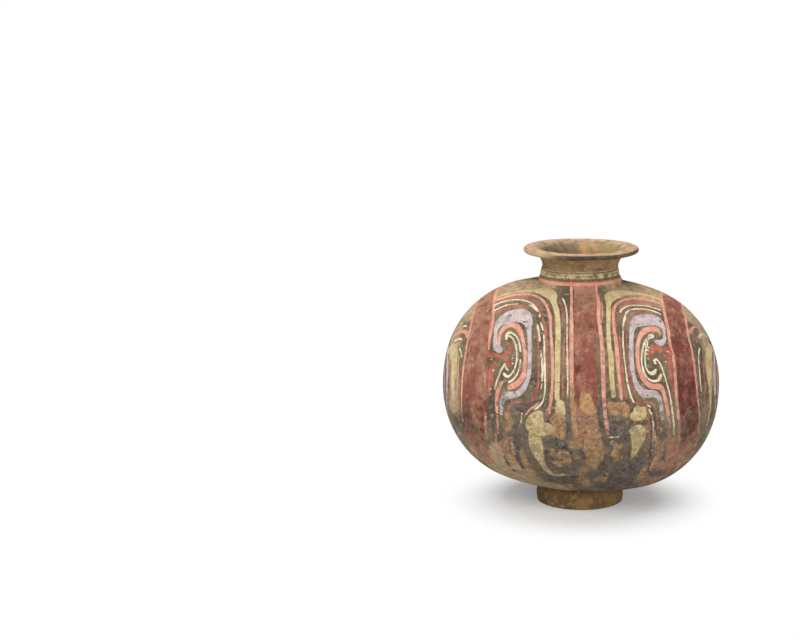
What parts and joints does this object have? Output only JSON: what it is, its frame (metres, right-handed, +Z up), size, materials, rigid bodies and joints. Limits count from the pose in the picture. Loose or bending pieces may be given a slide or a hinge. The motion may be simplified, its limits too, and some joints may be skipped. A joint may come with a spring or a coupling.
{
  "type": "cocoon jar",
  "caption": "Earthenware jar with a cocoon-shaped body lying on its side, a short neck with a wide flat lip and a low ring foot, painted all over with coloured bands and cloud scrolls.",
  "frame": {"origin": "on the ground plane, under the middle of the jar", "axes": "+Z up along the neck, +X along the body's long axis towards its lower end, +Y across the body, away from the pictured side"},
  "size_m": [0.2848, 0.225, 0.2696],
  "materials": {
    "painted_clay": "matt grey earthenware with worn cold-painted pigments",
    "bare_clay": "matt unpainted clay",
    "neck_clay": "matt buff clay with earth stains and thin painted lines",
    "cordon_slip": "matt cream slip, flaking",
    "foot_clay": "matt brown earth-stained clay"
  },
  "bodies": {
    "root": {"left_half": "painted_clay", "right_half": "painted_clay", "seam_coil": "bare_clay", "neck": "neck_clay", "neck_cordon": "cordon_slip", "foot_ring": "foot_clay"}
  },
  "joints": []
}
